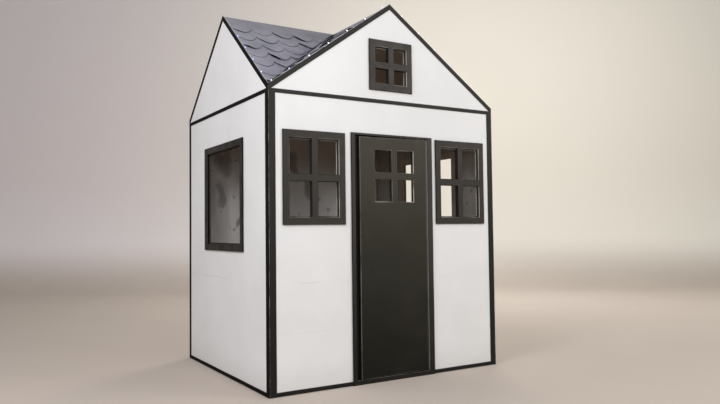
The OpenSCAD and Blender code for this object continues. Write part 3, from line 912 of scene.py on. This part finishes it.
def tab_columns(slope, low, start, gap):
    """Columns of a course: each is (y, lower end, place across its tab, the tab's own curl)."""
    columns = []
    tab = 0
    while tab * SHINGLE_W < slope.reach:
        least = random.uniform(0.0, LEAST_CURL)
        near, far, middle = (most * random.random() ** power for most, power in CURLS)
        curl = (least + near, far, middle)
        drop = random.uniform(-DROP_MM, DROP_MM) * MM
        for i in range(COLUMNS + (1 if (tab + 1) * SHINGLE_W >= slope.reach else 0)):
            across = -math.cos(math.pi * i / COLUMNS)
            y = -slope.reach + SHINGLE_W * (tab + (1 + across) / 2)
            reach_down = max(0.0, 1 - abs(across) ** TAB_POWER) ** (1 / TAB_POWER)
            end = low - TAB_DEPTH + (TAB_DEPTH + drop) * reach_down
            end = min(end, slope.valley(y, gap))
            if end < start + SHORTEST:
                return columns
            columns.append((y, end, across, curl))
        tab += 1
    return columns


def share(distance, length):
    """Share of a length that a distance covers, from 0 to 1."""
    return min(1.0, max(0.0, distance / length))


def curl_height(slope, column, s, low):
    """Lift of a shingle's lower edge: most at its corner towards the gable, none at the gable."""
    y, _, across, curl = column
    near, far, middle = (part * MM for part in curl)
    down = share(s - (low - TAB_DEPTH - 8 * MM), TAB_DEPTH * 0.7)
    side = share(0.35 - across, 0.9)
    other = share(across - 0.4, 0.6)
    clear = share(y + slope.reach - 6 * MM, 16 * MM)
    return clear * (down ** 1.3 * (near * side + far * other) + middle * down ** 2)


def lapped_sheet(columns, samples, at, hidden):
    """Closed sheet over a grid of columns. at(column, sample, upper) gives a point.

    hidden holds the rows of upper faces that lie under the next course; these and all lower faces take the
    third finish, a near-black painted shade.
    """
    verts, faces, kinds = [], [], []
    count = len(samples)
    for upper in (True, False):
        for column in columns:
            verts += [at(column, sample, upper) for sample in samples]
    below = len(columns) * count
    for i in range(len(columns) - 1):
        for j in range(count - 1):
            a, b = i * count + j, (i + 1) * count + j
            faces.append((a, b, b + 1, a + 1))
            faces.append((below + a, below + a + 1, below + b + 1, below + b))
            kinds += [2 if j in hidden else 0, 2]
    rim = [i * count for i in range(len(columns))]
    rim += [(len(columns) - 1) * count + j for j in range(1, count)]
    rim += [i * count + count - 1 for i in range(len(columns) - 2, -1, -1)]
    rim += list(range(count - 2, 0, -1))
    for a, b in zip(rim, rim[1:] + rim[:1]):
        faces.append((a, b, below + b, below + a))
        kinds.append(1)
    return verts, faces, kinds


def join(parts):
    verts, faces, kinds = [], [], []
    for v, f, k in parts:
        start = len(verts)
        verts += v
        faces += [tuple(start + i for i in face) for face in f]
        kinds += k
    return verts, faces, kinds


SHINGLE_MATS = (SLATE, SLATE_EDGE, SLATE_SHADE)


def make_shingles(node, side, flip, run, reach):
    slope = Slope(run, reach)
    parts = []
    last = math.floor((slope.length - TOP_COURSE) / COURSE_STEP)
    for k in range(1, last + 1):
        low = TOP_COURSE + k * COURSE_STEP
        start = low - COURSE_DEPTH
        columns = tab_columns(slope, low, start, VALLEY_GAP + random.uniform(0, VALLEY_RAGGED_MM) * MM)
        if len(columns) < 3:
            continue

        def at(column, up, upper):
            """up is the share of a course step from the lower edge, or none at the top edge."""
            y, end = column[:2]
            s = start if up is None else max(start + 1 * MM * (1 - up), end - up * COURSE_STEP)
            h = (s - start) * math.sin(LAY) + curl_height(slope, column, s, low)
            return slope.point(flip, s, y, h + (SHINGLE_T if upper else 0))

        parts.append(lapped_sheet(columns, (None,) + ROWS, at, (0,)))
    verts, faces, kinds = join(parts)
    piece = solid(node + "_card", verts, faces, SHINGLE_MATS, kinds, on_side(side), (0,))
    stand_for(piece, node, "house")


# Rows of points down each half of a ridge course, as shares of its length
RIDGE_ROWS = (0.03, 0.3, 0.55, 0.7, 0.8, 0.88, 0.95, 1)


def make_ridge_course(node, side, run, reach):
    """The top course is one sheet folded over the ridge."""
    slope = Slope(run, reach)
    halves = {flip: tab_columns(slope, TOP_COURSE, -SHORTEST, VALLEY_GAP) for flip in (True, False)}
    count = min(map(len, halves.values()))
    samples = [(True, t) for t in reversed(RIDGE_ROWS)] + [(True, 0)] + [(False, t) for t in RIDGE_ROWS]

    def at(i, sample, upper):
        flip, t = sample
        column = halves[flip][i]
        y, end = column[:2]
        s = max(end, 1 * MM) * t
        h = s * math.sin(LAY) + curl_height(slope, column, s, TOP_COURSE) + (SHINGLE_T if upper else 0)
        return slope.point(flip, s, y, h) if t else (0, y, RIDGE_H + (SHINGLE_T if upper else 0))

    verts, faces, kinds = lapped_sheet(range(count), samples, at, ())
    piece = solid(node + "_card", verts, faces, SHINGLE_MATS, kinds, on_side(side), (0,))
    stand_for(piece, node, "house")


for name, side, run, reach, first, second in (
    ("front", FRONT, HALF_W, HALF_D, "front_wing_left", "front_wing_right"),
    ("right", RIGHT, HALF_D, HALF_W, "right_wing_front", "right_wing_back"),
    ("back", BACK, HALF_W, HALF_D, "back_wing_right", "back_wing_left"),
    ("left", LEFT, HALF_D, HALF_W, "left_wing_back", "left_wing_front"),
):
    make_ridge_course(name + "_ridge_course", side, run, reach)
    make_shingles(first + "_shingles", side, True, run, reach)
    make_shingles(second + "_shingles", side, False, run, reach)


# CAD nodes that keep their own shape take a finish
def finish_node(node, mat):
    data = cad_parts[node].data
    data.materials.clear()
    data.materials.append(mat)


def finish_roof_sheet(node):
    """Bare card, with its upper faces near-black as painted shade under the shingles and in the valleys."""
    finish_node(node, BARE)
    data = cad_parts[node].data
    data.materials.append(SLATE_SHADE)
    for polygon in data.polygons:
        polygon.material_index = int(polygon.normal.z > 0.5)


for name in ("front", "right", "back", "left"):
    finish_roof_sheet(name + "_roof_sheet")
finish_node("door_hinge_tape", TAPE)
finish_node("lamp_wire", WIRE)
finish_node("lamps", GLOW)
finish_node("battery_case", CASE)


# Floor, backdrop and light. The stage is square to the camera; it reaches as far to both sides, to the
# front and up, has its backdrop behind the house, and bends up to it
STAGE_TURN = CAMERA_TURNS[0]
STAGE_REACH = 9.0
BACKDROP_AT = 4.5
BEND = 1.2
BEND_STEPS = 24

# Where the stage fades into the background: sideways, towards the front and upwards
SIDE_FADE = (4.3, 6.5)
FRONT_FADE = (-1.2, -3.6)
TOP_FADE = (3.6, 8.0)

# Colour of the background, and strength of the light that comes from all sides
PALE = srgb(203, 196, 187)
AMBIENT = 0.38


def seen_directly(tree):
    """1 for rays from the camera, off gloss or through glass, which alone see the background's colour."""
    path = tree.nodes.new("ShaderNodeLightPath")
    value = path.outputs["Is Camera Ray"]
    for name in ("Is Glossy Ray", "Is Transmission Ray"):
        node = tree.nodes.new("ShaderNodeMath")
        node.operation = "MAXIMUM"
        tree.links.new(value, node.inputs[0])
        tree.links.new(path.outputs[name], node.inputs[1])
        value = node.outputs[0]
    return value


def make_stage():
    """A floor that bends up into a backdrop, and fades into the background towards its edges."""
    n = Nodes("floor", 0.7, 0.0)
    ground = n.mix(n.noise(2, 3), srgb(196, 184, 172), srgb(202, 190, 178))
    turned = n.tree.nodes.new("ShaderNodeVectorRotate")
    turned.rotation_type = "Z_AXIS"
    turned.inputs["Angle"].default_value = -math.radians(STAGE_TURN)
    n.link(n.place, turned.inputs["Vector"])
    place = turned.outputs[0]
    across = n.axis("X", place)
    wall = n.mix(n.ramp(across, -3.5, 1.5), srgb(247, 238, 236), srgb(247, 241, 227))
    lit = n.mix(n.ramp(n.axis("Z"), 0.0, 0.5), ground, wall)
    sideways = n.ramp(n.math("ABSOLUTE", across), *SIDE_FADE)
    forward = n.ramp(n.axis("Y", place), *FRONT_FADE)
    upward = n.ramp(n.axis("Z"), *TOP_FADE)
    edge = n.math("MAXIMUM", n.math("MAXIMUM", sideways, forward), upward)
    fade = n.math("MULTIPLY", edge, seen_directly(n.tree))
    n.put(n.shader.inputs["Emission Color"], PALE)
    n.put(n.shader.inputs["Emission Strength"], fade)
    floor_mat = n.done(n.mix(fade, lit, (0, 0, 0, 1)))
    profile = [(-STAGE_REACH, 0.0), (BACKDROP_AT - BEND, 0.0)]
    profile += [(BACKDROP_AT - BEND + BEND * math.sin(t), BEND - BEND * math.cos(t))
                for t in (math.pi / 2 * k / BEND_STEPS for k in range(1, BEND_STEPS + 1))]
    profile.append((BACKDROP_AT, STAGE_REACH))
    verts = [(x, y, z) for x in (-STAGE_REACH, STAGE_REACH) for y, z in profile]
    count = len(profile)
    faces = [(k, k + 1, count + k + 1, count + k) for k in range(count - 1)]
    mesh = bpy.data.meshes.new("floor")
    mesh.from_pydata(verts, [], faces)
    mesh.materials.append(floor_mat)
    mesh.transform(Matrix.Rotation(math.radians(STAGE_TURN), 4, "Z"))
    for polygon in mesh.polygons:
        polygon.use_smooth = True
    floor = bpy.data.objects.new("floor", mesh)
    bpy.context.collection.objects.link(floor)


def area_light(name, place, aim, size, power, colour=(1, 1, 1)):
    data = bpy.data.lights.new(name, "AREA")
    data.shape = "RECTANGLE"
    data.size, data.size_y = size
    data.energy = power
    data.color = colour
    light = bpy.data.objects.new(name, data)
    bpy.context.collection.objects.link(light)
    light.location = place
    light.rotation_mode = "QUATERNION"
    light.rotation_quaternion = (Vector(aim) - Vector(place)).to_track_quat("-Z", "Y")
    light.visible_camera = False


def make_light():
    world = bpy.data.worlds.new("world")
    bpy.context.scene.world = world
    world.use_nodes = True
    tree = world.node_tree
    seen = seen_directly(tree)
    colour = tree.nodes.new("ShaderNodeMix")
    colour.data_type = "RGBA"
    tree.links.new(seen, colour.inputs[0])
    colour.inputs[6].default_value = srgb(249, 251, 255)
    colour.inputs[7].default_value = PALE
    strength = tree.nodes.new("ShaderNodeMapRange")
    tree.links.new(seen, strength.inputs["Value"])
    strength.inputs["To Min"].default_value = AMBIENT
    strength.inputs["To Max"].default_value = 1.0
    background = tree.nodes["Background"]
    tree.links.new(colour.outputs[2], background.inputs["Color"])
    tree.links.new(strength.outputs[0], background.inputs["Strength"])
    area_light("right_light", (1.8, -2.8, 2.0), (0.2, -0.4, 0.9), (1.6, 1.2), 35)
    area_light("front_light", (-0.3, -3.3, 2.3), (-0.2, -0.4, 0.6), (1.2, 0.9), 6)
    area_light("corner_light", (-1.5, -1.5, 1.6), (-0.5, -0.4, 0.9), (0.5, 0.5), 8, (0.95, 0.96, 1.0))
    area_light("left_light", (-2.5, -1.2, 2.4), (-0.5, -0.3, 0.8), (1.0, 1.0), 32, (0.93, 0.92, 1.0))
    area_light("camera_light", (-1.7, -3.0, 1.15), (-0.2, -0.4, 0.7), (1.4, 0.9), 7.5)
    area_light("back_light", (2.4, 2.2, 2.4), (0.4, 0.3, 0.8), (1.6, 1.6), 44)
    area_light("backdrop_light", (2.25, 0.4, 2.9), (3.95, 2.85, 1.3), (4.0, 1.5), 51)


make_stage()
make_light()
bpy.context.scene.view_settings.view_transform = "Standard"
